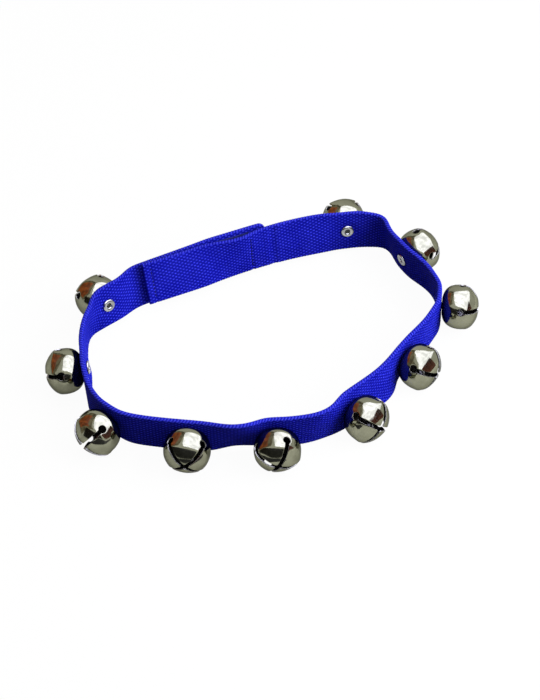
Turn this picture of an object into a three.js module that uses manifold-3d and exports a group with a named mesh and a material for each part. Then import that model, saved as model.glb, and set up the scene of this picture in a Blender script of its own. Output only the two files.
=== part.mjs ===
// Bell belt: a length of woven webbing with ten one-piece jingle bells riveted to its outside,
// closed by hook-and-loop tape and stood on edge as an open loop.
// Millimetres, +Z up. The closure is at the back (+Y) and the long front run faces -Y.

import * as THREE from 'three';
import { mergeVertices } from 'three/addons/utils/BufferGeometryUtils.js';
import Module from 'manifold-3d';

const wasm = await Module();
wasm.setup();

// Webbing
const WAIST = 550;              // round the closed loop, along the middle of the inner layer
const OVERLAP = 76;             // length of the outer end that lies over the inner end
const STRAP_WIDTH = 25;
const STRAP_THICKNESS = 2.4;
const SELVEDGE = 0.6;           // bevel of the woven edges
const STRAP_STEP = 6;           // longest facet along the bent webbing
const TAIL_CORNER = 4;          // rounding of the free outer end
const TAIL_DROP = 1.2;          // how much lower than the inner end the outer end comes in
const TAIL_CLIMB = 2.3;         // degrees that it climbs from there, as it was pressed on

// Hook-and-loop closure
const TAPE_LENGTH = 63;
const TAPE_WIDTH = 20;
const LOOP_TAPE_THICKNESS = 0.7;
const HOOK_TAPE_THICKNESS = 0.7;
const TAPE_SETBACK = 3;         // from the inner end of the webbing to the tapes
const FLAT_END = 34;            // the inner end is flat as far as this, then bows with the loop
const TAIL_RUN_IN = 3;          // from the bend line of the outer end to the inner end
const STEP_OUT = 19;            // run over which the webbing steps out to pass over the inner end

// Bells
const FIRST_BELL = 122;         // from the inner end to the first rivet
const LAST_BELL = 27;           // from the last rivet to the inner end that it meets
const BELL_DIAMETER = 24;
const BELL_NOSE = 10.4;         // from the middle of the bell to its flattened nose
const BELL_BACK = 9.4;          // from the middle of the bell to its flat seat
const SEAT_DIAMETER = 9;
const SHEET = 0.7;
const NOSE_FLAT = 11;           // diameter of the flat nose, where the flanks of the petals start
const FLANK_DIAMETER = 21.6;    // where the flanks meet the rounded side
const FLANK_HEIGHT = 4.7;       // of that ring over the middle of the bell
const SLIT_WIDTH = 2.4;
const SLIT_HOLE = 4.4;          // round relief at the end of each slit
const SLIT_REACH = 83;          // degrees from the nose to the middle of that relief
const PELLET_DIAMETER = 7;

// Tubular rivets
const SHANK_DIAMETER = 4;
const RIVET_BORE = 2.6;
const HEAD_DIAMETER = 7.6;
const HEAD_HEIGHT = 1.3;
const ROLL_DIAMETER = 7.4;      // rolled end on the waist side
const ROLL_HEIGHT = 0.9;

// Clearance between pieces that touch
const FIT = 0.3;

// Facets
const BELL_SIDES = 20;
const OUTER_STEPS = 4;          // from the seat to the widest ring, and on to the nose
const INNER_STEPS = 3;
const CORNER_STEPS = 4;
const RIVET_SIDES = 12;

// Plan of the loop as it was stood down, with the outward lean of the webbing's top edge:
// x and y in mm before scaling to the waist, lean in degrees. It starts at the inner end.
const LAY = [
  [-68.5, 33.5, 22], [-42, 46.5, 22], [-16, 60, 12], [10, 70, 16], [25, 74.4, 16.5], [44.5, 79.4, 9.5],
  [62.5, 80.3, 2], [66.5, 78, -8], [70, 69, -12], [76.5, 57.5, -7], [90.5, 39.5, -10], [93, 20.5, -2],
  [86, 3.5, -1], [70, -17.5, 0], [61.5, -33, -11], [42.5, -50, -7], [27, -63.5, 7], [10, -67.5, 5],
  [1, -68, 8], [-17.5, -72, 18], [-36, -70.5, 4], [-73, -65, 4], [-81, -60.5, 7], [-94, -46.5, 1],
  [-99, -17.5, 8], [-100.5, -9, 2], [-98.5, 10, -5], [-89, 20.3, 15], [-74.3, 27.8, 10],
];

// Each bell from the inner end round: turn of its slits in degrees, and how far its rivet is
// past its even place along the webbing and above the middle of the webbing's width, in mm
const BELLS = [
  [45, 1, 0], [70, 0.5, -2], [59, 0.5, 1], [52, -0.5, -0.5], [44, 0, -2],
  [66, 1.5, 0], [43, 2.5, 2.5], [56, 1.5, 1], [35, -2.5, 0], [30, 2, 0],
];

const FINISHES = {
  webbing: { color: 0x1d2fb4, roughness: 0.9, metalness: 0 },
  tape: { color: 0x16206e, roughness: 0.95, metalness: 0 },
  nickel: { color: 0xc9c8c2, roughness: 0.16, metalness: 1 },
  steel: { color: 0x8f9093, roughness: 0.35, metalness: 1 },
};

const { degToRad, lerp, smoothstep } = THREE.MathUtils;
const HALF_THICKNESS = STRAP_THICKNESS / 2;
const SEAT_OFFSET = HALF_THICKNESS + FIT + BELL_BACK;
const SEAT_HALF = SEAT_DIAMETER / 2 + FIT;
const HOLE_RADIUS = SHANK_DIAMETER / 2 + FIT;
const BELL_PITCH = (WAIST - FIRST_BELL - LAST_BELL) / (BELLS.length - 1);
const LAYER_PITCH = STRAP_THICKNESS + LOOP_TAPE_THICKNESS + HOOK_TAPE_THICKNESS + 3 * FIT;
const BEND_LINE = WAIST - TAIL_RUN_IN;
const TAPE_END = TAPE_SETBACK + TAPE_LENGTH;

const belt = new THREE.Group();

function addMesh(name, geometry, finish, frame = new THREE.Matrix4()) {
  geometry.computeVertexNormals();
  const mesh = new THREE.Mesh(geometry, new THREE.MeshStandardMaterial(FINISHES[finish]));
  mesh.name = name;
  mesh.applyMatrix4(frame);
  belt.add(mesh);
}

// Solids and booleans

function weld(geometry) {
  geometry.deleteAttribute('normal');
  geometry.deleteAttribute('uv');
  return mergeVertices(geometry, 1e-4);
}

function toSolid(geometry) {
  const welded = weld(geometry.clone());
  return new wasm.Manifold(new wasm.Mesh({
    numProp: 3,
    vertProperties: new Float32Array(welded.attributes.position.array),
    triVerts: new Uint32Array(welded.index.array),
  }));
}

function cut(geometry, cutters) {
  const body = cutters.reduce((solid, cutter) => solid.subtract(toSolid(cutter)), toSolid(geometry));
  const mesh = body.getMesh();
  const result = new THREE.BufferGeometry();
  result.setAttribute('position', new THREE.BufferAttribute(mesh.vertProperties, mesh.numProp));
  result.setIndex(new THREE.BufferAttribute(mesh.triVerts, 1));
  return result;
}

// A closed body through a row of equal convex sections, capped at both ends
function loft(sections) {
  const count = sections[0].length;
  const last = (sections.length - 1) * count;
  const index = [];
  for (let row = 0; row < last; row += count) {
    for (let i = 0; i < count; i += 1) {
      const next = (i + 1) % count;
      index.push(row + i, row + next, row + count + next);
      index.push(row + i, row + count + next, row + count + i);
    }
  }
  for (let i = 1; i < count - 1; i += 1) {
    index.push(0, i + 1, i);
    index.push(last, last + i, last + i + 1);
  }
  const geometry = new THREE.BufferGeometry().setFromPoints(sections.flat());
  geometry.setIndex(index);
  return geometry;
}

// Frames of the webbing: X up its width, Y along it from the inner end, Z outward

const layPoints = LAY.map(([x, y]) => new THREE.Vector3(x, y, 0));
const layLength = new THREE.CatmullRomCurve3(layPoints, true).getLength();
const plan = new THREE.CatmullRomCurve3(layPoints.map((p) => p.multiplyScalar(WAIST / layLength)), true);
plan.arcLengthDivisions = 2000;

function leanAt(t) {
  const place = t * LAY.length;
  const row = Math.floor(place) % LAY.length;
  const next = (row + 1) % LAY.length;
  return degToRad(lerp(LAY[row][2], LAY[next][2], smoothstep(place % 1, 0, 1)));
}

// The webbing stands on its lower edge or hangs on its bells, whichever meets the ground first
function heightAt(lean) {
  const onEdge = STRAP_WIDTH / 2 * Math.cos(lean);
  const onBells = BELL_DIAMETER / 2 + SEAT_OFFSET * Math.sin(lean);
  return Math.max(onEdge, onBells);
}

function frameAt(distance) {
  const t = plan.getUtoTmapping((distance / WAIST) % 1);
  const lean = leanAt(t);
  const along = plan.getTangent(t);
  const level = new THREE.Vector3(-along.y, along.x, 0);
  const up = new THREE.Vector3(0, 0, Math.cos(lean)).addScaledVector(level, Math.sin(lean));
  const out = new THREE.Vector3().crossVectors(up, along);
  return new THREE.Matrix4().makeBasis(up, along, out).setPosition(plan.getPoint(t).setZ(heightAt(lean)));
}

function shifted(frame, { up = 0, along = 0, out = 0 }) {
  return frame.clone().multiply(new THREE.Matrix4().makeTranslation(up, along, out));
}

const rivetPlaces = BELLS.map(([, along], i) => FIRST_BELL + i * BELL_PITCH + along);
const bellFrames = rivetPlaces.map(frameAt);
const rivetFrames = bellFrames.map((frame, i) => shifted(frame, { up: BELLS[i][2] }));
const flatFrame = frameAt(FLAT_END / 2);

function innerFrame(distance) {
  if (distance > FLAT_END) return frameAt(distance);
  return shifted(flatFrame, { along: distance - FLAT_END / 2 });
}

// The outer end follows the inner end one layer further out, and climbs a little across it
function tailFrame(distance) {
  const climb = Math.tan(degToRad(TAIL_CLIMB)) * (distance + TAIL_RUN_IN);
  return shifted(innerFrame(distance), { up: climb - TAIL_DROP, out: LAYER_PITCH });
}

function stops(start, end) {
  const steps = Math.ceil((end - start) / STRAP_STEP);
  return Array.from({ length: steps + 1 }, (_, i) => lerp(start, end, i / steps));
}

const bowedStops = stops(FLAT_END, TAPE_END);
const tailRoot = tailFrame(-TAIL_RUN_IN);

// Webbing: flat at its inner end and under each bell, bent in short facets between them

function strapSection(frame, narrowing = 0) {
  const edge = STRAP_WIDTH / 2 - narrowing;
  const face = edge - SELVEDGE;
  const half = HALF_THICKNESS;
  return [[edge, 0], [face, -half], [-face, -half], [-edge, 0], [-face, half], [face, half]]
    .map(([up, out]) => new THREE.Vector3(up, 0, out).applyMatrix4(frame));
}

function bentRun(start, end) {
  return stops(start, end).slice(1, -1).map((distance) => {
    const step = smoothstep(distance, BEND_LINE - STEP_OUT, BEND_LINE);
    return shifted(frameAt(distance), { up: -step * TAIL_DROP, out: step * LAYER_PITCH });
  });
}

function buildStrap() {
  const frames = [0, ...bowedStops].map(innerFrame);
  let reached = TAPE_END;
  bellFrames.forEach((frame, i) => {
    frames.push(...bentRun(reached, rivetPlaces[i] - SEAT_HALF));
    frames.push(shifted(frame, { along: -SEAT_HALF }), shifted(frame, { along: SEAT_HALF }));
    reached = rivetPlaces[i] + SEAT_HALF;
  });
  frames.push(...bentRun(reached, BEND_LINE), shifted(tailRoot, { along: -FIT }));
  const holes = rivetFrames.map((frame) => (
    new THREE.CylinderGeometry(HOLE_RADIUS, HOLE_RADIUS, 3 * STRAP_THICKNESS, RIVET_SIDES)
      .rotateX(Math.PI / 2).applyMatrix4(frame)
  ));
  addMesh('strap_webbing', cut(loft(frames.map((frame) => strapSection(frame))), holes), 'webbing');
}

// A lofted body whose own frame is given, so that its place is in its mesh's matrix
function addLoft(name, sections, finish, frame) {
  addMesh(name, loft(sections).applyMatrix4(frame.clone().invert()), finish, frame);
}

// Outer end of the webbing: it bends at its root, and its free corners are rounded
function buildTail() {
  const sections = [-TAIL_RUN_IN, ...bowedStops].map((distance) => strapSection(tailFrame(distance)));
  for (let i = 0; i <= CORNER_STEPS; i += 1) {
    const angle = Math.PI / 2 * i / CORNER_STEPS;
    const left = TAIL_CORNER * (1 - Math.sin(angle));
    sections.push(strapSection(tailFrame(OVERLAP - left), TAIL_CORNER * (1 - Math.cos(angle))));
  }
  addLoft('strap_tail', sections, 'webbing', tailRoot);
}

// Soft tape on the outside of the inner end, hook tape on the inside of the outer end

function tapeSection(frame, low, high) {
  const edge = TAPE_WIDTH / 2;
  return [[edge, low], [-edge, low], [-edge, high], [edge, high]]
    .map(([up, out]) => new THREE.Vector3(up, 0, out).applyMatrix4(frame));
}

function buildTapes() {
  const face = HALF_THICKNESS + FIT;
  const tapeStops = [TAPE_SETBACK, ...bowedStops];
  const loopTape = tapeStops.map((distance) => (
    tapeSection(innerFrame(distance), face, face + LOOP_TAPE_THICKNESS)
  ));
  const hookTape = tapeStops.map((distance) => (
    tapeSection(tailFrame(distance), -face - HOOK_TAPE_THICKNESS, -face)
  ));
  addLoft('loop_tape', loopTape, 'tape', flatFrame);
  addLoft('hook_tape', hookTape, 'tape', tailRoot);
}

// Bell: a cup with a flat seat, drawn in by straight flanks to a flat nose and cut by two crossed slits

function bellProfile(inset, steps) {
  const radius = BELL_DIAMETER / 2 - inset;
  const nose = BELL_NOSE - inset;
  const seatAngle = Math.acos((SEAT_DIAMETER / 2 - inset) / radius);
  const depth = (BELL_BACK - inset) / Math.sin(seatAngle);
  const inner = radius / (BELL_DIAMETER / 2);
  const flank = FLANK_DIAMETER / 2 * inner;
  const points = [];
  for (let i = 0; i < steps; i += 1) {
    const angle = seatAngle * (i / steps - 1);
    points.push(new THREE.Vector2(radius * Math.cos(angle), depth * Math.sin(angle)));
  }
  for (let i = 0; i <= steps - 2; i += 1) {
    const share = i / (steps - 2);
    points.push(new THREE.Vector2(lerp(radius, flank, share ** 2), FLANK_HEIGHT * inner * share));
  }
  points.push(new THREE.Vector2(NOSE_FLAT / 2 * inner, nose), new THREE.Vector2(0, nose));
  return points;
}

// Keyhole bar along X: a slit with a round relief at its lower end
function slitCutter() {
  const relief = SLIT_HOLE / 2;
  const height = BELL_DIAMETER / 2 * Math.cos(degToRad(SLIT_REACH));
  const half = SLIT_WIDTH / 2;
  const neck = Math.asin(half / relief);
  const outline = new THREE.Shape();
  outline.absarc(0, height, relief, Math.PI / 2 + neck, 5 * Math.PI / 2 - neck);
  outline.lineTo(half, BELL_DIAMETER);
  outline.lineTo(-half, BELL_DIAMETER);
  outline.closePath();
  const length = 2 * BELL_DIAMETER;
  const bar = new THREE.ExtrudeGeometry(outline, { depth: length, bevelEnabled: false, curveSegments: 7 });
  return bar.translate(0, 0, -length / 2).rotateX(Math.PI / 2).rotateZ(Math.PI / 2);
}

function bellShell() {
  const outer = bellProfile(0, OUTER_STEPS);
  const inner = bellProfile(SHEET, INNER_STEPS).reverse();
  const rim = [SHEET - BELL_BACK, -BELL_BACK].map((z) => new THREE.Vector2(HOLE_RADIUS, z));
  const cup = new THREE.LatheGeometry([...outer, ...inner, ...rim, outer[0]], BELL_SIDES);
  const slit = slitCutter();
  return cut(cup.rotateX(Math.PI / 2), [slit, slit.clone().rotateZ(Math.PI / 2)]);
}

// Tubular rivet on the bell's axis: domed head in the bell, rolled end on the waist side
function rivetBody() {
  const headUnder = SHEET + FIT - BELL_BACK;
  const rollTop = -SEAT_OFFSET - HALF_THICKNESS - FIT;
  const rollMiddle = rollTop - ROLL_HEIGHT / 2;
  const boreEnd = rollTop + STRAP_THICKNESS;
  const bore = RIVET_BORE / 2;
  const shank = SHANK_DIAMETER / 2;
  const roll = ROLL_DIAMETER / 2;
  const head = HEAD_DIAMETER / 2;
  const profile = [
    [0, boreEnd], [bore, boreEnd], [bore, rollMiddle], [(bore + roll) / 2, rollTop - ROLL_HEIGHT],
    [roll, rollMiddle], [shank, rollTop], [shank, headUnder], [head, headUnder],
    [0.75 * head, headUnder + 0.75 * HEAD_HEIGHT], [0, headUnder + HEAD_HEIGHT],
  ];
  const points = profile.map(([r, z]) => new THREE.Vector2(r, z));
  return weld(new THREE.LatheGeometry(points, RIVET_SIDES).rotateX(Math.PI / 2));
}

function buildBells() {
  const shell = bellShell();
  const rivet = rivetBody();
  const pelletDrop = BELL_DIAMETER / 2 - SHEET - PELLET_DIAMETER / 2 - FIT;
  const pellet = weld(new THREE.IcosahedronGeometry(PELLET_DIAMETER / 2, 1).translate(-pelletDrop, 0, 0));
  rivetFrames.forEach((frame, i) => {
    const label = `bell_${String(i + 1).padStart(2, '0')}`;
    const middle = shifted(frame, { out: SEAT_OFFSET });
    const turn = new THREE.Matrix4().makeRotationZ(degToRad(BELLS[i][0]));
    addMesh(`${label}_shell`, shell.clone(), 'nickel', middle.clone().multiply(turn));
    addMesh(`${label}_pellet`, pellet.clone(), 'steel', middle);
    addMesh(`${label}_rivet`, rivet.clone(), 'nickel', middle);
  });
}

buildStrap();
buildTail();
buildTapes();
buildBells();

// Stand the belt on the ground with its box centred on the origin
const box = new THREE.Box3().setFromObject(belt, true);
const centre = box.getCenter(new THREE.Vector3());
belt.position.set(-centre.x, -centre.y, -box.min.z);

export default belt;
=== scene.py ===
"""Looks of the bell belt: woven webbing, hook-and-loop closure, riveted jingle bells and a small studio.

Sizes are in millimetres, and in metres in the studio. Meshes are turned into metres when they are placed.
"""

import bisect
import logging
from dataclasses import dataclass, field
from enum import Enum
from functools import partial
from itertools import accumulate
from math import acos, asin, atan2, cos, exp, floor, hypot, pi, radians, sin, sqrt, tan
from typing import Any, Callable, Optional, Sequence, Union

import bmesh
import bpy
from mathutils import Matrix, Vector, noise


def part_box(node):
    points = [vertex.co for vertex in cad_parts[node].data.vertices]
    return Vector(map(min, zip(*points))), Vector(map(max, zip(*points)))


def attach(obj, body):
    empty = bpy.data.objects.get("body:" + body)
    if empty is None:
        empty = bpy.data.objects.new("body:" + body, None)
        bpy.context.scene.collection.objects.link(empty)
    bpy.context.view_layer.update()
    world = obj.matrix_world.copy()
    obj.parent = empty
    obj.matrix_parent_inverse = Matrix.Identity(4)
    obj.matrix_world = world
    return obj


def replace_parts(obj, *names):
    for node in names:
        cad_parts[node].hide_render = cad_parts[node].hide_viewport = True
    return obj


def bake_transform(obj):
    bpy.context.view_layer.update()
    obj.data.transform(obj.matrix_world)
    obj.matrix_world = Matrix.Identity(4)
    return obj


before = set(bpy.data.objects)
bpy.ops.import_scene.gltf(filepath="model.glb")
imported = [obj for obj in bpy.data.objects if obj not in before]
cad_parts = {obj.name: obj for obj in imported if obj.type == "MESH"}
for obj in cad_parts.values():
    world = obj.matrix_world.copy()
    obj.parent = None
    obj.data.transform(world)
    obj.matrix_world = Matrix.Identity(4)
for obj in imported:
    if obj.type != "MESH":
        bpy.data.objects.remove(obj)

log = logging.getLogger("bell_belt")

MM = 0.001
Mesh = bmesh.types.BMesh
Material = bpy.types.Material
Object = bpy.types.Object
Colour = tuple[float, float, float]
Point2 = tuple[float, float]
Point3 = tuple[float, float, float]
Ramp = tuple[float, ...]
UP = Vector((0, 0, 1))


class Body(Enum):
    """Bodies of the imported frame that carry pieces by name."""

    STRAP = "strap"
    TAIL = "tail"


class Slot(Enum):
    """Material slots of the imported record."""

    WEBBING = "webbing"
    TAPE = "tape"
    NICKEL = "nickel"
    STEEL = "steel"


class Side(Enum):
    """Faces of the webbing, as the sign of the way out of the loop."""

    WAIST = -1.0
    BELLS = 1.0


# Shader nodes


@dataclass
class Value:
    """A shader socket that takes part in Python expressions."""

    desk: "Desk"
    socket: Optional[bpy.types.NodeSocket]

    def __add__(self, other: Any) -> "Value":
        """self + other."""
        return self.desk.maths("ADD", self, other)

    def __mul__(self, other: Any) -> "Value":
        """self * other."""
        return self.desk.maths("MULTIPLY", self, other)

    def sin(self) -> "Value":
        """Sine of the value, in radians."""
        return self.desk.maths("SINE", self)

    def ramp(self, low: float, high: float, start: float = 0.0, end: float = 1.0) -> "Value":
        """Maps the span from low to high smoothly onto start to end."""
        settings = {"interpolation_type": "SMOOTHSTEP"}
        return self.desk.node("MapRange", settings, {0: self, 1: low, 2: high, 3: start, 4: end})


class Desk:
    """The node tree of one material or world, with one way to add a node."""

    def __init__(self, owner: Union[Material, bpy.types.World]) -> None:
        """Empties the owner's node tree."""
        self.owner = owner
        owner.use_nodes = True
        self.tree = owner.node_tree
        self.tree.nodes.clear()

    def node(self, kind: str, settings: Optional[dict] = None, inputs: Optional[dict] = None,
             output: Union[int, str] = 0) -> Value:
        """Adds a node.

        Args:
            kind: Node type without its ShaderNode prefix.
            settings: Attributes of the node, set before its sockets.
            inputs: Values or links by socket number or name.
            output: Number or name of the socket to hand back.

        Returns:
            The chosen output, or an empty value for a node that has none.
        """
        made = self.tree.nodes.new("ShaderNode" + kind)
        for key, value in (settings or {}).items():
            setattr(made, key, value)
        for key, value in (inputs or {}).items():
            if isinstance(value, Value):
                self.tree.links.new(value.socket, made.inputs[key])
            else:
                made.inputs[key].default_value = value
        return Value(self, made.outputs[output] if len(made.outputs) else None)

    def maths(self, operation: str, *terms: Union[Value, float]) -> Value:
        """Adds a Math node on the terms, in their order."""
        return self.node("Math", {"operation": operation}, dict(enumerate(terms)))

    def mix(self, share: Any, first: Any, second: Any) -> Value:
        """Mixes two colours or links, with share as the part of the second."""
        colours = [c if isinstance(c, Value) else (*c, 1.0) for c in (first, second)]
        return self.node("Mix", {"data_type": "RGBA"}, {0: share, 6: colours[0], 7: colours[1]}, 2)

    def grain(self, scale: float, detail: float = 2.0) -> Value:
        """Noise from 0 to 1 on the object's own coordinates, in grains per metre."""
        place = self.node("TexCoord", output="Object")
        return self.node("TexNoise", inputs={"Vector": place, "Scale": scale, "Detail": detail})

    def ray(self, kind: str) -> Value:
        """1 for rays of a kind, such as Camera, and 0 for others."""
        return self.node("LightPath", output=f"Is {kind} Ray")

    def bump(self, height: Value, strength: float, distance: float) -> Value:
        """A normal from a height, which is in parts of a distance in metres."""
        return self.node("Bump", inputs={"Strength": strength, "Distance": distance, "Height": height})

    def finish(self, **sockets: Any) -> Material:
        """Closes the material with a Principled shader, with _ for a space in its sockets' names."""
        inputs = {name.replace("_", " "): value for name, value in sockets.items()}
        return self.close(self.node("BsdfPrincipled", inputs=inputs))

    def close(self, shader: Value) -> Union[Material, bpy.types.World]:
        """Links a shader to the owner's output and hands the owner back."""
        kind = "World" if isinstance(self.owner, bpy.types.World) else "Material"
        return self.node("Output" + kind, inputs={0: shader}).desk.owner


# Finishes


@dataclass(frozen=True)
class WebbingFinish:
    """Dyed synthetic yarn, with raised warp crowns, deep picks and a rope-like selvedge; the crowns' lighter
    colour is a painted highlight, the picks' darker colour painted shade, and the selvedge's light dashes
    painted light and shade of its twist.
    """

    # crown is a painted highlight colour, pick a painted shade colour, selvedge the painted light of the
    # edge dashes
    crown: Colour = (0.042, 0.054, 0.92)
    pick: Colour = (0.0014, 0.0032, 0.34)
    selvedge: Colour = (0.044, 0.054, 0.74)
    roughness: float = 0.75
    gloss: float = 0.06
    fibres: float = 7.0
    fibre_twist: float = 0.9
    patches: float = 90.0
    patch_detail: float = 3.0
    crown_ramp: Ramp = (0.1, 0.9)
    dash_ramp: Ramp = (-0.6, 0.8)
    dash_share: float = 0.75
    dash_least: float = 0.02
    dye_ramp: Ramp = (0.2, 0.7, 0.7, 1.0)
    wear_ramp: Ramp = (0.35, 0.75, 0.0, 0.08)
    crown_height: float = 0.7
    fibre_height: float = 0.08
    relief: Point2 = (0.5, 0.0002)
    face_warps: int = 24
    edge_cells: float = 2.0
    slant: float = 0.42

    @property
    def side_cells(self) -> float:
        """Cells of one face and one edge."""
        return self.face_warps + self.edge_cells

    def material(self) -> Material:
        """Builds the woven material on the webbing's own map, with a painted highlight on the crowns,
        painted shade in the picks and painted light and shade along the selvedge's dashes.

        Returns:
            The material.
        """
        desk = Desk(bpy.data.materials.new("webbing_royal_blue"))
        place = desk.node("UVMap", {"uv_map": "weave"})
        warp, pick = (desk.node("SeparateXYZ", inputs={0: place}, output=axis) for axis in (0, 1))
        within = desk.maths("MODULO", warp, self.side_cells)
        on_edge = desk.maths("GREATER_THAN", within, self.face_warps)
        crown = ((warp * pi).sin() * (pick * pi).sin()).ramp(*self.crown_ramp)
        dash = ((pick + within * self.slant) * (2.0 * pi)).sin().ramp(*self.dash_ramp)
        fibre = ((warp * self.fibres + pick * self.fibre_twist) * (2.0 * pi)).sin()
        patch = desk.grain(self.patches, self.patch_detail)
        # painted light: the crown mask lightens the warp crowns as a highlight and leaves the picks dark as
        # shade
        face = desk.mix(crown * patch.ramp(*self.dye_ramp), self.pick, self.crown)
        # painted light and shade: light dashes over the dark pick colour along the selvedge's twist
        edge = desk.mix(dash * self.dash_share + self.dash_least, self.pick, self.selvedge)
        cloth = desk.mix(on_edge, face, edge)
        worn = desk.mix(patch.ramp(*self.wear_ramp), cloth, self.crown)
        height = crown * self.crown_height + fibre * self.fibre_height + dash * on_edge
        normal = desk.bump(height, *self.relief)
        return desk.finish(
            Base_Color=worn, Roughness=self.roughness, Specular_IOR_Level=self.gloss, Normal=normal)


@dataclass(frozen=True)
class MetalFinish:
    """Plated or bare metal, with faint cloudy polish and fine handling marks."""

    name: str
    bright: Colour
    dull: Colour
    roughness: Point2
    grazing: float = 1.0
    clouds: float = 140.0
    cloud_detail: float = 4.0
    cloud_ramp: Ramp = (0.3, 0.75)
    polish_ramp: Ramp = (0.25, 0.8)
    marks: float = 1900.0
    relief: Point2 = (0.04, 0.0001)

    def material(self) -> Material:
        """Builds the metal on object coordinates.

        Returns:
            The material.
        """
        desk = Desk(bpy.data.materials.new(self.name))
        cloud = desk.grain(self.clouds, self.cloud_detail)
        colour = desk.mix(cloud.ramp(*self.cloud_ramp), self.bright, self.dull)
        rough = cloud.ramp(*self.polish_ramp, *self.roughness)
        normal = desk.bump(desk.grain(self.marks), *self.relief)
        grazing = (self.grazing, self.grazing, self.grazing, 1.0)
        return desk.finish(
            Base_Color=colour, Metallic=1.0, Roughness=rough, Specular_Tint=grazing, Normal=normal)


@dataclass(frozen=True)
class FuzzFinish:
    """Brushed loops or moulded hooks of the closure tapes, and sewing thread; the tip colour is a painted
    highlight and the root colour painted shade, following the same tufts as the bump.
    """

    name: str
    # tip: painted highlight where the tufts stand high; root: painted shade where they sink
    tip: Colour
    root: Colour
    tufts: float
    roughness: float = 0.85
    gloss: float = 0.2
    tuft_detail: float = 5.0
    tuft_ramp: Ramp = (0.35, 0.65)
    relief: Point2 = (0.6, 0.0002)

    def material(self) -> Material:
        """Builds the fibrous material on object coordinates, painted lighter on high tufts and darker as
        shade between them.

        Returns:
            The material.
        """
        desk = Desk(bpy.data.materials.new(self.name))
        tuft = desk.grain(self.tufts, self.tuft_detail)
        # painted light and shade: the colour follows the tuft height that also drives the bump
        colour = desk.mix(tuft.ramp(*self.tuft_ramp), self.root, self.tip)
        normal = desk.bump(tuft, *self.relief)
        return desk.finish(
            Base_Color=colour, Roughness=self.roughness, Specular_IOR_Level=self.gloss, Normal=normal)


# Helpers for meshes and frames


def ease(value: float, low: float, high: float) -> float:
    """Smooth step from 0 at low to 1 at high."""
    share = min(1.0, max(0.0, (value - low) / (high - low)))
    return share * share * (3.0 - 2.0 * share)


def axes(up: Vector, along: Vector, origin: Vector) -> Matrix:
    """A frame of the webbing from its ways up and along, which are square, and its middle."""
    return Matrix.Translation(origin) @ Matrix((up, along, up.cross(along))).transposed().to_4x4()


def squared(up: Vector, along: Vector, origin: Vector) -> Matrix:
    """A frame from rough ways up and along, of which along is kept."""
    along = along.normalized()
    return axes((up - along * up.dot(along)).normalized(), along, origin)


def between(first: Matrix, second: Matrix, share: float) -> Matrix:
    """A frame part of the way from the first frame to the second."""
    up, along = (first.col[i].xyz.lerp(second.col[i].xyz, share) for i in (0, 1))
    return squared(up, along, first.translation.lerp(second.translation, share))


def shifted(start: Matrix, up: float = 0.0, along: float = 0.0, out: float = 0.0) -> Matrix:
    """A frame moved along its own axes, without turning."""
    return start @ Matrix.Translation((up, along, out))


def softened(corners: Sequence[Vector], cuts: Sequence[Point2], steps: int) -> list[Vector]:
    """Rounds the inner corners of a flat path.

    Args:
        corners: Points of the path.
        cuts: How far before and after each inner corner its rounding starts and ends.
        steps: Pieces of each rounding.

    Returns:
        The points of the rounded path.
    """
    path = [corners[0]]
    for before, corner, after, cut in zip(corners, corners[1:], corners[2:], cuts):
        start = corner + (before - corner).normalized() * cut[0]
        end = corner + (after - corner).normalized() * cut[1]
        path += [path[-1].lerp(start, share) for share in (1 / 3, 2 / 3)]
        for step in range(steps + 1):
            share = step / steps
            path.append(start.lerp(corner, share).lerp(corner.lerp(end, share), share))
    return path + [corners[-1]]


def bent(bm: Mesh, place: Callable[[float], Matrix]) -> Mesh:
    """Bends a mesh that was made flat to follow the webbing.

    Args:
        bm: Mesh with its Y as the way along the webbing.
        place: Gives the webbing's frame at a way along it.

    Returns:
        The same mesh.
    """
    frames: dict[float, Matrix] = {}
    for vert in bm.verts:
        key = round(vert.co.y, 3)
        if key not in frames:
            frames[key] = place(key)
        vert.co = frames[key] @ Vector((vert.co.x, vert.co.y - key, vert.co.z))
    return bm


def moved(bm: Mesh, *vec: float) -> None:
    """Moves a whole mesh."""
    bmesh.ops.translate(bm, vec=vec, verts=bm.verts[:])


def grid(columns: int, rows: int, width: float = 1.0, length: float = 1.0) -> Mesh:
    """A flat grid round the origin.

    Args:
        columns: Cells along X.
        rows: Cells along Y.
        width: Size along X.
        length: Size along Y.

    Returns:
        The new mesh.
    """
    bm = bmesh.new()
    size = Matrix.Diagonal((width, length, 1.0, 1.0))
    bmesh.ops.create_grid(bm, x_segments=columns, y_segments=rows, size=0.5, matrix=size)
    return bm


def linked(bm: Mesh, name: str, material: Material) -> Object:
    """Puts a mesh into the scene as it is.

    Args:
        bm: The mesh, which is used up.
        name: Name of the new object.
        material: Its finish.

    Returns:
        The new object, at the origin.
    """
    mesh = bpy.data.meshes.new(name)
    bm.to_mesh(mesh)
    bm.free()
    mesh.materials.append(material)
    made = bpy.data.objects.new(name, mesh)
    bpy.context.scene.collection.objects.link(made)
    return made


def placed(bm: Mesh, name: str, place: Matrix, material: Material) -> Object:
    """Puts a piece of the belt into the scene, in metres.

    Args:
        bm: The mesh in millimetres, which is used up.
        name: Name of the new piece.
        place: Frame that the mesh was made in.
        material: Its finish.

    Returns:
        The new piece, with its place in its mesh.
    """
    bmesh.ops.transform(bm, matrix=Matrix.Scale(MM, 4) @ place, verts=bm.verts[:])
    for face in bm.faces:
        face.smooth = True
    piece = linked(bm, name, material)
    log.info("%s: %d faces", name, len(piece.data.polygons))
    return piece


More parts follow.
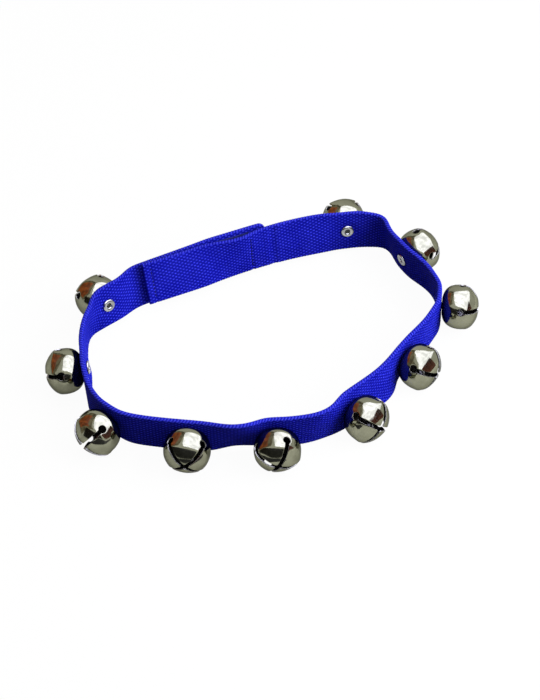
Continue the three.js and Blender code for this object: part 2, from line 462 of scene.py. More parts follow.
def turned(profile: Sequence[Point2], steps: int) -> Mesh:
    """Spins a profile of radius and height round the Z axis.

    Args:
        profile: Points from one end to the other.
        steps: Facets of a full turn.

    Returns:
        The closed mesh.
    """
    bm = bmesh.new()
    points = [bm.verts.new((radius, 0.0, height)) for radius, height in profile]
    edges = [bm.edges.new(pair) for pair in zip(points, points[1:])]
    bmesh.ops.spin(bm, geom=points + edges, axis=UP, cent=(0, 0, 0), angle=2.0 * pi, steps=steps,
                   use_merge=True)
    bmesh.ops.remove_doubles(bm, verts=bm.verts[:], dist=1e-4)
    bmesh.ops.recalc_face_normals(bm, faces=bm.faces[:])
    return bm


# The belt's lie


@dataclass
class Lay:
    """Plan and lean of the belt as it stands, and the frames along its webbing.

    A frame's X goes up the width, Y along the webbing from its inner end and Z out of the loop. A row
    holds a point of the plan and the lean there. A bell holds its turn, and its shift along and up.
    """

    rows: tuple[Point3, ...] = (
        (-68.5, 33.5, 22), (-42, 46.5, 22), (-16, 60, 12), (10, 70, 16), (25, 74.4, 16.5), (44.5, 79.4, 9.5),
        (62.5, 80.3, 2), (66.5, 78, -8), (70, 69, -12), (76.5, 57.5, -7), (90.5, 39.5, -10),
        (93, 20.5, -2), (86, 3.5, -1), (70, -17.5, 0), (61.5, -33, -11), (42.5, -50, -7),
        (27, -63.5, 7), (10, -67.5, 5), (1, -68, 8), (-17.5, -72, 18), (-36, -70.5, 4), (-73, -65, 4),
        (-81, -60.5, 7), (-94, -46.5, 1), (-99, -17.5, 8), (-100.5, -9, 2), (-98.5, 10, -5),
        (-89, 20.3, 15), (-74.3, 27.8, 10),
    )
    bells: tuple[Point3, ...] = (
        (45, 1, 0), (70, 0.5, -2), (59, 0.5, 1), (52, -0.5, -0.5), (44, 0, -2),
        (66, 1.5, 0), (43, 2.5, 2.5), (56, 1.5, 1), (35, -2.5, 0), (30, 2, 0),
    )
    waist: float = 550.0
    width: float = 25.0
    thickness: float = 2.4
    fit: float = 0.3
    first_bell: float = 122.0
    last_bell: float = 27.0
    bell_radius: float = 12.0
    bell_back: float = 9.4
    seat_half: float = 4.8
    tape_setback: float = 3.0
    tape_length: float = 63.0
    tape_thickness: float = 0.7
    flat_end: float = 34.0
    run_in: float = 3.0
    step_out: float = 19.0
    settle: float = 16.8
    drop: float = 1.2
    climb: float = 2.3
    level_off: float = 0.0009
    gape: float = 5.5
    gape_opens: Point2 = (36.0, 58.0)
    gape_shuts: Point2 = (60.0, 71.0)
    overlap: float = 76.0
    soften: float = 7.0
    stiffness: float = 2.25
    stiff_shares: tuple[int, ...] = (1, 3, 6, 7, 6, 3, 1)
    rough_parts: int = 200
    fine_parts: int = 2000
    nudge: float = 1e-4
    points: list[Vector] = field(init=False)
    lengths: list[float] = field(init=False)
    rivets: list[Point2] = field(init=False)
    seats: list[Matrix] = field(init=False)
    stand: Vector = field(init=False)

    def __post_init__(self) -> None:
        """Scales the plan to the waist and finds the flat places of the webbing."""
        self.points = [Vector((x, y, 0.0)) for x, y, _ in self.rows]
        scale = self.waist / self.measure(self.rough_parts)[-1]
        self.points = [point * scale for point in self.points]
        self.lengths = self.measure(self.fine_parts)
        pitch = (self.waist - self.first_bell - self.last_bell) / (len(self.bells) - 1)
        self.rivets = [(self.first_bell + i * pitch + along, rise)
                       for i, (_, along, rise) in enumerate(self.bells)]
        self.seats = [self.bare(distance) for distance, _ in self.rivets]

    @property
    def seat_offset(self) -> float:
        """From the middle of the webbing to the middle of a bell."""
        return self.thickness / 2 + self.fit + self.bell_back

    @property
    def layer(self) -> float:
        """From the middle of the inner end to the middle of the outer end."""
        return self.thickness + 2 * self.tape_thickness + 3 * self.fit

    @property
    def bend(self) -> float:
        """Way along the webbing to the line where its outer end bends."""
        return self.waist - self.run_in

    @property
    def tape_end(self) -> float:
        """Way along the webbing to the far end of the tapes."""
        return self.tape_setback + self.tape_length

    @property
    def tape_middle(self) -> float:
        """Way along the webbing to the middle of the tapes."""
        return (self.tape_setback + self.tape_end) / 2

    def measure(self, parts: int) -> list[float]:
        """Running length of the plan over equal steps of its own parameter."""
        places = [self.plan(i / parts) for i in range(parts + 1)]
        return [0.0, *accumulate((second - first).length for first, second in zip(places, places[1:]))]

    def plan(self, share: float) -> Vector:
        """Point of the closed centripetal spline through the plan's rows.

        Args:
            share: Place on the spline, from 0 to 1.

        Returns:
            The point, at no height.
        """
        count = len(self.points)
        place = share * count
        row = floor(place)
        part = place - row
        p0, p1, p2, p3 = (self.points[(row + i) % count] for i in (-1, 0, 1, 2))
        d0, d1, d2 = ((b - a).length ** 0.5 for a, b in ((p0, p1), (p1, p2), (p2, p3)))
        leave = ((p1 - p0) / d0 - (p2 - p0) / (d0 + d1) + (p2 - p1) / d1) * d1
        reach = ((p2 - p1) / d1 - (p3 - p1) / (d1 + d2) + (p3 - p2) / d2) * d1
        square = (p2 - p1) * 3 - leave * 2 - reach
        cube = (p1 - p2) * 2 + leave + reach
        return p1 + leave * part + square * part ** 2 + cube * part ** 3

    def bare(self, distance: float) -> Matrix:
        """Frame of the middle of the inner layer, before flats and overlap.

        Args:
            distance: Way along the webbing.

        Returns:
            The frame there.
        """
        target = (distance / self.waist) % 1.0 * self.lengths[-1]
        step = min(bisect.bisect_right(self.lengths, target), len(self.lengths) - 1) - 1
        part = (target - self.lengths[step]) / (self.lengths[step + 1] - self.lengths[step])
        share = (step + part) / (len(self.lengths) - 1)
        place = share * len(self.rows)
        row = int(place) % len(self.rows)
        after = (row + 1) % len(self.rows)
        turn = ease(place % 1.0, 0.0, 1.0)
        lean = radians(self.rows[row][2] * (1 - turn) + self.rows[after][2] * turn)
        along = (self.plan(share + self.nudge) - self.plan(share - self.nudge)).normalized()
        up = Vector((-along.y * sin(lean), along.x * sin(lean), cos(lean)))
        on_bells = self.bell_radius + self.seat_offset * sin(lean)
        height = max(self.width / 2 * cos(lean), on_bells)
        return axes(up, along, self.plan(share) + Vector((0, 0, height)))

    def inner(self, distance: float) -> Matrix:
        """Frame of the inner layer, which is flat at its inner end.

        Args:
            distance: Way along the webbing.

        Returns:
            The frame there.
        """
        middle = self.flat_end / 2
        flat = shifted(self.bare(middle), along=distance - middle)
        free = ease(distance, self.flat_end, self.flat_end + self.soften)
        return between(flat, self.bare(distance), free) if free else flat

    def under(self, distance: float) -> Matrix:
        """Frame of the inner layer as it lies, its upper edge fallen away from the outer end.

        Args:
            distance: Way along the webbing.

        Returns:
            The frame there.
        """
        share = ease(distance, *self.gape_opens) * (1.0 - ease(distance, *self.gape_shuts))
        foot = shifted(self.inner(distance), up=-self.width / 2)
        tilt = Matrix.Rotation(radians(self.gape) * share, 4, "Y")
        return shifted(foot @ tilt, up=self.width / 2)

    def outer(self, distance: float) -> Matrix:
        """Frame of the outer end where it lies over the inner end.

        Args:
            distance: Way along the inner end.

        Returns:
            The frame there.
        """
        climb = tan(radians(self.climb)) * (distance + self.run_in)
        climb -= self.level_off * max(0.0, distance - self.flat_end) ** 2
        return shifted(self.inner(distance), up=climb - self.drop, out=self.layer)

    def run(self, distance: float) -> Matrix:
        """Frame of the webbing, flat at its seats, with its outer end on top of its inner end.

        Args:
            distance: Way along the webbing from its inner end, past the waist for the outer end.

        Returns:
            The frame there.
        """
        if distance >= self.bend:
            return self.outer(distance - self.waist)
        made = self.under(distance)
        for (rivet, _), seat in zip(self.rivets, self.seats):
            reach = abs(distance - rivet)
            if reach < self.seat_half + self.soften:
                share = 1.0 - ease(reach, self.seat_half, self.seat_half + self.soften)
                made = between(made, shifted(seat, along=distance - rivet), share)
        step = ease(distance, self.bend - self.step_out, self.bend)
        made = shifted(made, up=-step * self.drop, out=step * self.layer)
        last = ease(distance, self.bend - self.settle, self.bend)
        return between(made, shifted(self.outer(-self.run_in), along=distance - self.bend), last)

    def supple(self, place: Callable[[float], Matrix], distance: float) -> Matrix:
        """A frame averaged over a short reach, because stiff webbing takes no sharp bend.

        Args:
            place: Gives the frame at a way along the webbing.
            distance: Way along the webbing.

        Returns:
            The smoothed frame there.
        """
        up, along, origin = Vector(), Vector(), Vector()
        for step, share in enumerate(self.stiff_shares, -(len(self.stiff_shares) // 2)):
            near = place(distance + step * self.stiffness)
            up += near.col[0].xyz * share
            along += near.col[1].xyz * share
            origin += near.translation * share
        return squared(up, along, origin / sum(self.stiff_shares))

    def bell(self, number: int) -> Matrix:
        """Frame of the middle of a bell, counted from 1 at the inner end."""
        return shifted(self.seats[number - 1], up=self.rivets[number - 1][1], out=self.seat_offset)

    def stand_on(self, node: str, local: Vector) -> None:
        """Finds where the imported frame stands, from a node whose middle in the first bell is known."""
        low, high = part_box(node)
        self.stand = (low + high) / 2 / MM - self.bell(1) @ local

    def at(self, place: Matrix) -> Matrix:
        """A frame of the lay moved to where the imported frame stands."""
        return Matrix.Translation(self.stand) @ place


# Webbing


@dataclass(frozen=True)
class Stretch:
    """A length of webbing, and whether its start and its end are heat-sealed cuts."""

    start: float
    end: float
    sealed: tuple[bool, bool]

    def left(self, distance: float) -> float:
        """How far the nearest sealed end is, or very far where none is sealed."""
        ends = zip((self.start, self.end), self.sealed)
        return min((abs(distance - end) for end, sealed in ends if sealed), default=1e9)


@dataclass
class Webbing:
    """The woven strip: its body round the loop and its outer end, both in real woven relief."""

    lay: Lay
    finish: WebbingFinish
    warp_pitch: float = 1.0
    pick_pitch: float = 1.7
    edge_steps: int = 6
    crown: float = 0.16
    rib: float = 0.05
    edge_bump: float = 0.10
    uneven_mean: float = 0.8
    uneven_swing: float = 0.4
    uneven_scale: float = 0.7
    waist_facing: float = -0.5
    corner: float = 4.0
    seal_radius: float = 0.7
    seal_fade: float = 1.5
    seal_rows: Point2 = (0.12, 0.35)
    hole: float = 2.35
    hole_margin: float = 0.45
    dimple: float = 0.45
    dimple_reach: Point2 = (3.4, 7.5)
    seam_insets: Point2 = (1.4, 1.0)
    stitch_groove: float = 0.4
    groove_reach: Point2 = (0.3, 1.2)
    crease: float = 0.5
    crease_reach: Point2 = (0.4, 3.0)
    crease_past: float = 2.0
    tail_bend: float = 5.0

    def section(self) -> list[tuple[float, float, float, float, float]]:
        """Points round the woven section.

        Returns:
            Place across, place out, the two parts of the outward normal, and the warp count.
        """
        finish = self.finish
        half = finish.face_warps * self.warp_pitch / 2
        thick = self.lay.thickness / 2
        lip = self.lay.width / 2 - half
        points = []
        for side in Side:
            base = 0.0 if side is Side.WAIST else finish.side_cells
            for step in range(2 * finish.face_warps):
                across = -side.value * (half - step * self.warp_pitch / 2)
                points.append((across, side.value * thick, 0.0, side.value, base + step / 2))
            for step in range(self.edge_steps):
                angle = pi * step / self.edge_steps
                side_up, side_out = side.value * sin(angle), side.value * cos(angle)
                cell = base + finish.face_warps + finish.edge_cells * step / self.edge_steps
                points.append((side.value * half + lip * side_up, thick * side_out, side_up, side_out, cell))
        return points + [(*points[0][:4], 2 * finish.side_cells)]

    def relief(self, distance: float, warp: float) -> float:
        """Height of the weave over the mean face.

        Args:
            distance: Way along the webbing.
            warp: Warp count at this point of the section.

        Returns:
            The height along the normal.
        """
        pick = distance / self.pick_pitch
        cell = warp % self.finish.side_cells
        if cell >= self.finish.face_warps:
            return self.edge_bump * sin(2 * pi * (pick + cell * self.finish.slant))
        spot = (warp * self.uneven_scale, pick * self.uneven_scale, 0.0)
        uneven = self.uneven_mean + self.uneven_swing * noise.noise(spot)
        weave = sin(pi * warp) * sin(pi * pick) * self.crown * uneven
        return weave + self.rib * (sin(pi * pick) ** 2 - 0.5)

    def pressed(self, across: float, distance: float) -> float:
        """How far rivets, seams and the end behind it pull the waist face in.

        Args:
            across: Place across the webbing.
            distance: Way along the webbing.

        Returns:
            The depth.
        """
        fold = abs(distance - self.lay.overlap - self.crease_past)
        depths = [self.crease * (1.0 - ease(fold, *self.crease_reach))]
        for rivet, rise in self.lay.rivets:
            reach = hypot(across - rise, distance - rivet)
            depths.append(self.dimple * (1.0 - ease(reach, *self.dimple_reach)))
        for row in self.seam_rows():
            depths.append(self.stitch_groove * (1.0 - ease(abs(distance - row), *self.groove_reach)))
        return max(depths)

    def seam_rows(self) -> Point2:
        """Ways along the webbing to the two cross seams of the inner end."""
        return self.lay.tape_setback + self.seam_insets[0], self.lay.tape_end - self.seam_insets[1]

    def rows(self, stretch: Stretch) -> list[float]:
        """Ways along to the mesh rows, two to a pick, with close rows at a sealed end.

        Args:
            stretch: The length of webbing.

        Returns:
            The ways along, in order.
        """
        start, end = stretch.start, stretch.end
        count = round((end - start) / self.pick_pitch) * 2
        made = [start + (end - start) * i / count for i in range(count + 1)]
        if stretch.sealed[0]:
            made[1:1] = [start + row for row in self.seal_rows]
        if stretch.sealed[1]:
            made[-1:-1] = [end - row for row in reversed(self.seal_rows)]
        return made

    def strip(self, stretch: Stretch) -> Mesh:
        """Weaves one length of the strip.

        Args:
            stretch: The length of webbing.

        Returns:
            The closed mesh.
        """
        section = self.section()
        rows = self.rows(stretch)
        frames = [self.lay.supple(self.lay.run, distance) for distance in rows]
        bm = grid(len(section) - 1, len(rows) - 1)
        uv = bm.loops.layers.uv.new("weave")
        across = bm.verts.layers.float.new("across")
        gone = bm.verts.layers.float.new("distance")
        spot = {}
        for vert in bm.verts:
            column = round((vert.co.x + 0.5) * (len(section) - 1))
            row = round((vert.co.y + 0.5) * (len(rows) - 1))
            spot[vert] = (column, row)
            vert[across] = section[column][0]
            vert[gone] = rows[row]
        for face in bm.faces:
            for loop in face.loops:
                column, row = spot[loop.vert]
                loop[uv].uv = (section[column][4], rows[row] / self.pick_pitch)
        self.punch(bm, across, gone)
        for vert in bm.verts:
            column, row = spot[vert]
            up, out = self.point(stretch, section[column], vert[across], vert[gone])
            vert.co = frames[row] @ Vector((up, vert[gone] - rows[row], out))
        bmesh.ops.remove_doubles(bm, verts=bm.verts[:], dist=1e-3)
        self.close(bm, gone)
        bmesh.ops.recalc_face_normals(bm, faces=bm.faces[:])
        return bm

    def point(self, stretch: Stretch, spot: tuple[float, ...], across: float, distance: float) -> Point2:
        """One point of the woven surface.

        Args:
            stretch: Its length of webbing.
            spot: Its point of the section.
            across: Its place across.
            distance: Its way along the webbing.

        Returns:
            Its place across and its place out, in relief.
        """
        _, out, normal_up, normal_out, warp = spot
        left = stretch.left(distance)
        thin = sqrt(max(0.0, 1.0 - (1.0 - min(1.0, left / self.seal_radius)) ** 2))
        lift = self.relief(distance, warp) * min(1.0, left / self.seal_fade)
        sink = self.pressed(across, distance) if normal_out < self.waist_facing else 0.0
        reach = self.corner - (stretch.end - distance)
        if stretch.sealed[1] and reach > 0.0:
            keep = self.lay.width / 2 - self.corner + sqrt(self.corner ** 2 - reach ** 2)
            across *= keep / (self.lay.width / 2)
        return across + lift * normal_up, out * thin + lift * normal_out + sink

    def punch(self, bm: Mesh, across: Any, gone: Any) -> None:
        """Opens the rivet holes in both faces of the flat grid and rounds them.

        Args:
            bm: The flat grid.
            across: Layer of places across.
            gone: Layer of ways along.
        """
        border = {vert for edge in bm.edges if edge.is_boundary for vert in edge.verts}
        for rivet, rise in self.lay.rivets:
            near = [face for face in bm.faces if all(
                hypot(vert[across] - rise, vert[gone] - rivet) < self.hole + self.hole_margin
                for vert in face.verts)]
            if not near:
                continue
            rim = {vert for face in near for vert in face.verts}
            bmesh.ops.delete(bm, geom=near, context="FACES")
            for vert in rim:
                if vert.is_valid and vert not in border:
                    grow = self.hole / hypot(vert[across] - rise, vert[gone] - rivet)
                    vert[across] = rise + (vert[across] - rise) * grow
                    vert[gone] = rivet + (vert[gone] - rivet) * grow

    def close(self, bm: Mesh, gone: Any) -> None:
        """Joins the two faces round each rivet hole and caps an end that was left open.

        Args:
            bm: The shaped strip.
            gone: Layer of ways along.
        """
        for rivet, _ in self.lay.rivets:
            rim = [edge for edge in bm.edges if edge.is_boundary
                   and all(abs(vert[gone] - rivet) < 2 * self.hole for vert in edge.verts)]
            if rim:
                bmesh.ops.bridge_loops(bm, edges=rim)
        left = [edge for edge in bm.edges if edge.is_boundary]
        if left:
            bmesh.ops.contextual_create(bm, geom=left)
            for edge in left:
                edge.smooth = False

    def build(self) -> None:
        """Weaves the body and the outer end, and hangs the body on the strap's body; the outer end is not
        hung.
        """
        lay = self.lay
        stand = Matrix.Translation(lay.stand)
        finish = self.finish.material()
        body = self.strip(Stretch(0.0, lay.bend, (True, False)))
        body = placed(body, "webbing", stand, finish)
        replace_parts(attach(body, Body.STRAP.value), "strap_webbing")
        tail = self.strip(Stretch(lay.bend, lay.waist + lay.overlap, (False, True)))
        tail = placed(tail, "webbing_tail", stand, finish)
        root = lay.at(lay.outer(-lay.run_in))
        shifted(root, along=self.tail_bend).translation * MM
        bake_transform(tail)
        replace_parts(tail, "strap_tail")


# Closure


@dataclass
class Closure:
    """Loop tape on the inner end, hook tape on the outer end, and the seams that hold them."""

    webbing: Webbing
    loops: Material
    hooks: Material
    thread: Material
    width: float = 20.0
    backing: float = 0.35
    proud: float = 0.15
    soft_edge: float = 0.1
    cell: float = 0.5
    tuft: float = 0.25
    tuft_edge: Point2 = (-0.3, 0.9)
    tuft_scale: float = 1.3
    hook_pitch: float = 1.25
    hook_margin: float = 1.5
    hook_radius: float = 0.16
    hook_bends: tuple[Point3, ...] = ((0.24, 0.02, 20), (0.10, 0.10, 50), (-0.02, 0.14, 50))
    stitch: float = 2.3
    stitch_share: float = 0.86
    seam_margin: float = 2.0
    thread_width: float = 0.7
    thread_height: float = 0.49
    cuts: int = 24

    def pile(self) -> Mesh:
        """Makes the loop tape: a closed block whose upper side is brushed into tufts.

        Returns:
            The closed mesh, flat.
        """
        lay = self.webbing.lay
        bm = grid(int(self.width / self.cell), int(lay.tape_length / self.cell), self.width, lay.tape_length)
        made = bmesh.ops.extrude_face_region(bm, geom=bm.faces[:])["geom"]
        for vert in (item for item in made if isinstance(item, bmesh.types.BMVert)):
            edge = min(self.width / 2 - abs(vert.co.x), lay.tape_length / 2 - abs(vert.co.y))
            tuft = self.tuft * (0.5 + 0.5 * noise.noise(vert.co * self.tuft_scale))
            height = lay.tape_thickness - self.backing + tuft
            vert.co.z = self.backing + height * ease(edge, *self.tuft_edge)
        moved(bm, 0, lay.tape_middle, 0)
        bmesh.ops.recalc_face_normals(bm, faces=bm.faces[:])
        return bm

    def hook_field(self) -> Mesh:
        """Makes the hook tape: a soft-edged backing with rows of small bent hooks.

        Returns:
            The mesh, flat.
        """
        lay = self.webbing.lay
        bm = bmesh.new()
        bmesh.ops.create_cube(bm, size=1.0)
        bmesh.ops.scale(bm, vec=(self.width, lay.tape_length, self.backing), verts=bm.verts[:])
        bmesh.ops.bevel(bm, geom=bm.edges[:], offset=self.soft_edge, offset_type="OFFSET", segments=2,
                        profile=0.5, affect="EDGES", material=-1)
        long = [edge for edge in bm.edges if edge.calc_length() > lay.tape_length / 2]
        bmesh.ops.subdivide_edges(bm, edges=long, cuts=self.cuts, use_grid_fill=True)
        moved(bm, 0, lay.tape_middle, self.backing / 2)
        columns = int((self.width - self.hook_margin) / self.hook_pitch)
        rows = int((lay.tape_length - self.hook_margin) / self.hook_pitch)
        for column in range(columns + 1):
            for row in range(rows + 1):
                foot = Vector(((column - columns / 2) * self.hook_pitch,
                               lay.tape_middle + (row - rows / 2) * self.hook_pitch, self.backing))
                self.hook(bm, foot, 1 if (column + row) % 2 else -1)
        return bm

    def hook(self, bm: Mesh, foot: Vector, way: int) -> None:
        """Adds one hook: a stem that bends over at its tip.

        Args:
            bm: Mesh of the tape.
            foot: Where the hook stands.
            way: 1 or -1, the way it bends along the tape.
        """
        ring = bmesh.ops.create_circle(bm, segments=4, radius=self.hook_radius, cap_ends=True)["verts"]
        bmesh.ops.translate(bm, vec=foot, verts=ring)
        faces = list({face for vert in ring for face in vert.link_faces})
        for rise, push, bend in self.hook_bends:
            made = bmesh.ops.extrude_face_region(bm, geom=faces)["geom"]
            top = [item for item in made if isinstance(item, bmesh.types.BMVert)]
            bmesh.ops.delete(bm, geom=faces, context="FACES_ONLY")
            faces = [item for item in made if isinstance(item, bmesh.types.BMFace)]
            middle = sum((vert.co for vert in top), Vector()) / len(top)
            turn = Matrix.Rotation(-way * radians(bend), 3, "X")
            bmesh.ops.rotate(bm, cent=middle, matrix=turn, verts=top)
            bmesh.ops.translate(bm, vec=(0, way * push, rise), verts=top)

    def seams(self, height: float) -> Mesh:
        """Makes the two cross rows of stitches that hold a tape.

        Args:
            height: Way out from the middle of the webbing.

        Returns:
            The mesh of all stitches, flat.
        """
        bm = bmesh.new()
        count = round((self.width - self.seam_margin) / self.stitch)
        size = (self.stitch * self.stitch_share, self.thread_width, self.thread_height)
        for row in self.webbing.seam_rows():
            for i in range(count):
                made = bmesh.ops.create_uvsphere(bm, u_segments=8, v_segments=6, radius=0.5)["verts"]
                bmesh.ops.scale(bm, vec=size, verts=made)
                across = (i + 0.5 - count / 2) * self.stitch
                bmesh.ops.translate(bm, vec=(across, row, height), verts=made)
        return bm

    def build(self) -> None:
        """Makes both tapes and their seams, and hangs them on their bodies."""
        lay = self.webbing.lay
        stand = Matrix.Translation(lay.stand)
        half = lay.thickness / 2
        inner, outer = (partial(lay.supple, place) for place in (lay.under, lay.outer))
        pile, hooks = self.pile(), self.hook_field()
        moved(pile, 0, 0, half + self.proud)
        bmesh.ops.rotate(hooks, cent=(0, 0, 0), matrix=Matrix.Rotation(pi, 3, "Y"), verts=hooks.verts[:])
        moved(hooks, 0, 0, -half - self.proud)
        loop = placed(bent(pile, inner), "loop_tape_pile", stand, self.loops)
        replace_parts(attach(loop, Body.STRAP.value), "loop_tape")
        hook = placed(bent(hooks, outer), "hook_tape_hooks", stand, self.hooks)
        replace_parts(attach(hook, Body.TAIL.value), "hook_tape")
        # the stitches' near-black thread is painted shade of their grooves
        sunk = self.webbing.stitch_groove
        for name, height, place, body in (
                ("loop_tape_seam", sunk - half, inner, Body.STRAP),
                ("hook_tape_seam", half, outer, Body.TAIL)):
            sewn = placed(bent(self.seams(height), place), name, stand, self.thread)
            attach(sewn, body.value)


# Bells


@dataclass
class Bell:
    """One-piece jingle bell with four petals, its loose pellet and its tubular rivet."""

    lay: Lay
    nickel: Material
    # inside: rough metal painted near black, painted shade in the bell's hollow
    inside: Material
    # edge: metal painted lighter than the nickel, a painted highlight on the cut edges
    edge: Material
    steel: Material
    rivet_metal: Material
    nose: float = 10.4
    nose_flat: float = 11.8
    flank: float = 22.7
    flank_height: float = 5.5
    seat: float = 9.0
    squareness: float = 2.7
    peak: float = 0.45
    petal_flat: float = 0.18
    petal_mean: float = 1.12
    rounding: tuple[Point2, Point2] = ((1.8, 2.6), (3.6, 1.6))
    rounding_steps: int = 8
    sheet: float = 0.7
    deburr: float = 0.16
    deburr_angle: float = 50.0
    slit: float = 2.4
    relief: float = 4.4
    relief_angle: float = 83.0
    relief_steps: int = 12
    cup_steps: int = 11
    tip: float = 2.1
    bore: float = 4.6
    columns: int = 22
    seat_shares: Point3 = (0.08, 0.35, 1.0)
    fullness: float = 0.065
    full_from: Point2 = (-7.0, 1.5)
    bulge: float = 1.5
    bulge_height: float = 8.2
    bulge_reach: float = 2.2
    dents: float = 0.03
    dent_scale: float = 0.12
    dent_step: float = 7.3
    pellet: float = 7.0
    pellet_seam: float = 0.012
    pellet_seam_reach: float = 0.25
    shank: float = 4.0
    rivet_bore: float = 2.6
    rivet_depth: float = 3.2
    rivet_facets: int = 40
    bore_end: tuple[Point2, ...] = ((0.0, 0.0), (0.7, 0.05), (0.85, 0.4))
    head: float = 7.6
    head_height: float = 1.3
    head_lip: float = 0.15
    head_edge: float = 0.1
    head_steps: int = 7
    roll: float = 7.4
    roll_height: float = 0.9
    roll_sink: float = 0.1
    roll_power: float = 0.8
    roll_steps: int = 10

    @property
    def drop(self) -> float:
        """From the bell's axis to the middle of the pellet at rest."""
        return self.lay.bell_radius - self.sheet - self.pellet / 2 - self.lay.fit

    @property
    def seat_angle(self) -> float:
        """Angle of the squared-off back at the rim of its seat, in radians."""
        return acos((self.seat / 2 / self.lay.bell_radius) ** (self.squareness / 2))

    @property
    def cup_depth(self) -> float:
        """Depth that the back would have without its flat seat."""
        return self.lay.bell_back / sin(self.seat_angle) ** (2 / self.squareness)

    def around(self, height: float) -> float:
        """Radius of the wall under the flanks.

        Args:
            height: Way up from the middle of the bell.

        Returns:
            The radius there.
        """
        radius = self.lay.bell_radius
        if height < 0:
            return radius * (1.0 - (-height / self.cup_depth) ** self.squareness) ** (1 / self.squareness)
        return radius - (radius - self.flank / 2) * (height / self.flank_height) ** 2

    def outline(self) -> list[Point3]:
        """Rows of a petal from its tip to the rivet hole.

        Returns:
            Radius, height and half the slit's width at each row.
        """
        radius, back = self.lay.bell_radius, self.lay.bell_back
        centre = radius * cos(radians(self.relief_angle))
        eye = self.relief / 2
        neck = centre + sqrt(eye ** 2 - (self.slit / 2) ** 2)
        corners = [Vector(point) for point in (
            (self.tip, self.nose + self.peak), (self.nose_flat / 2, self.nose - self.peak / 2),
            (self.flank / 2, self.flank_height), (self.around(neck), neck))]
        path = softened(corners, self.rounding, self.rounding_steps)[:-1]
        rows = [(*point, self.slit / 2) for point in path]
        first = acos((neck - centre) / eye)
        for i in range(self.relief_steps + 1):
            angle = first + (pi - first) * i / self.relief_steps
            height = centre + eye * cos(angle)
            rows.append((self.around(height), height, eye * sin(angle)))
        power = 2 / self.squareness
        low = asin(((eye - centre) / self.cup_depth) ** (1 / power))
        for i in range(1, self.cup_steps + 1):
            angle = low + (self.seat_angle - low) * i / self.cup_steps
            rows.append((radius * cos(angle) ** power, -self.cup_depth * sin(angle) ** power, 0.0))
        for share in self.seat_shares:
            rows.append((self.seat / 2 + (self.bore / 2 - self.seat / 2) * share, -back, 0.0))
        return rows

    def shell(self, number: int, turn: float) -> Mesh:
        """The bell's outer skin, one quarter turned four times.

        Args:
            number: Which bell it is, because no two are pressed quite alike.
            turn: How far its slits are turned, in radians, to put its fuller side down.

        Returns:
            The open skin with its normals outwards.
        """
        rows = self.outline()
        bm = grid(self.columns, len(rows) - 1)
        for vert in bm.verts:
            column = vert.co.x + 0.5
            radius, height, half = rows[round((vert.co.y + 0.5) * (len(rows) - 1))]
            cut = asin(min(1.0, half / radius))
            angle = cut + (pi / 2 - 2 * cut) * column
            flat = self.petal_flat * ease(height, 0.0, self.flank_height)
            radius *= 1.0 + flat * (1.0 / cos(angle - pi / 4) - self.petal_mean)
            vert.co = (radius * cos(angle), radius * sin(angle), height)
        bmesh.ops.spin(bm, geom=bm.verts[:] + bm.edges[:] + bm.faces[:], axis=UP, cent=(0, 0, 0),
                       angle=1.5 * pi, steps=3, use_duplicate=True)
        bmesh.ops.remove_doubles(bm, verts=bm.verts[:], dist=1e-3)
        bmesh.ops.recalc_face_normals(bm, faces=bm.faces[:])
        lowest = min(bm.faces, key=lambda face: face.calc_center_median().z)
        if lowest.normal.z > 0:
            bmesh.ops.reverse_faces(bm, faces=bm.faces[:])
        for vert in bm.verts:
            x, y, z = vert.co
            share = ease(z, *self.full_from)
            share += self.bulge * exp(-((z - self.bulge_height) / self.bulge_reach) ** 2)
            low = 0.5 - 0.5 * cos(atan2(y, x) + turn)
            uneven = noise.noise((x * self.dent_scale, y * self.dent_scale, number * self.dent_step))
            uneven *= self.dents * ease(z, 0.0, self.nose)
            vert.co.xy *= 1.0 + self.fullness * share * low + uneven
        return bm

    def thicken(self, piece: Object) -> None:
        """Gives a bell's skin its sheet thickness, a dull inside painted near black as shade, and softened
        cut edges painted lighter as a highlight.

        Args:
            piece: The skin.
        """
        piece.data.materials.append(self.inside)
        piece.data.materials.append(self.edge)
        wall = piece.modifiers.new("sheet", "SOLIDIFY")
        wall.thickness = self.sheet * MM
        wall.offset = -1.0
        wall.use_even_offset = True
        # the inner face takes the inside's painted shade and the cut rim the edge's painted highlight
        wall.material_offset = 1
        wall.material_offset_rim = 2
        edge = piece.modifiers.new("deburred", "BEVEL")
        edge.width = self.deburr * MM
        edge.segments = 3
        edge.limit_method = "ANGLE"
        edge.angle_limit = radians(self.deburr_angle)
        piece.modifiers.new("even_shine", "WEIGHTED_NORMAL").keep_sharp = True

    def rivet(self) -> Mesh:
        """Makes the tubular rivet: a domed head in the bell and a rolled end on the waist side.

        Returns:
            The closed mesh.
        """
        under = self.sheet + self.lay.fit - self.lay.bell_back
        roll_top = -self.lay.seat_offset - self.lay.thickness / 2 + self.roll_sink
        bore, roll, head = self.rivet_bore / 2, self.roll / 2, self.head / 2
        middle, reach = (bore + roll) / 2, (roll - bore) / 2
        deep = roll_top + self.rivet_depth
        profile = [(share * bore, deep - fall) for share, fall in self.bore_end]
        for i in range(self.roll_steps + 1):
            angle = pi * i / self.roll_steps
            sag = self.roll_height * sin(angle) ** self.roll_power
            profile.append((middle - reach * cos(angle), roll_top - sag))
        profile += [(self.shank / 2, roll_top), (self.shank / 2, under), (head - self.head_edge, under)]
        for i in range(self.head_steps + 1):
            angle = pi / 2 * i / self.head_steps
            dome = (self.head_height - self.head_lip) * sin(angle)
            profile.append((head * cos(angle), under + self.head_lip + dome))
        return turned(profile, self.rivet_facets)

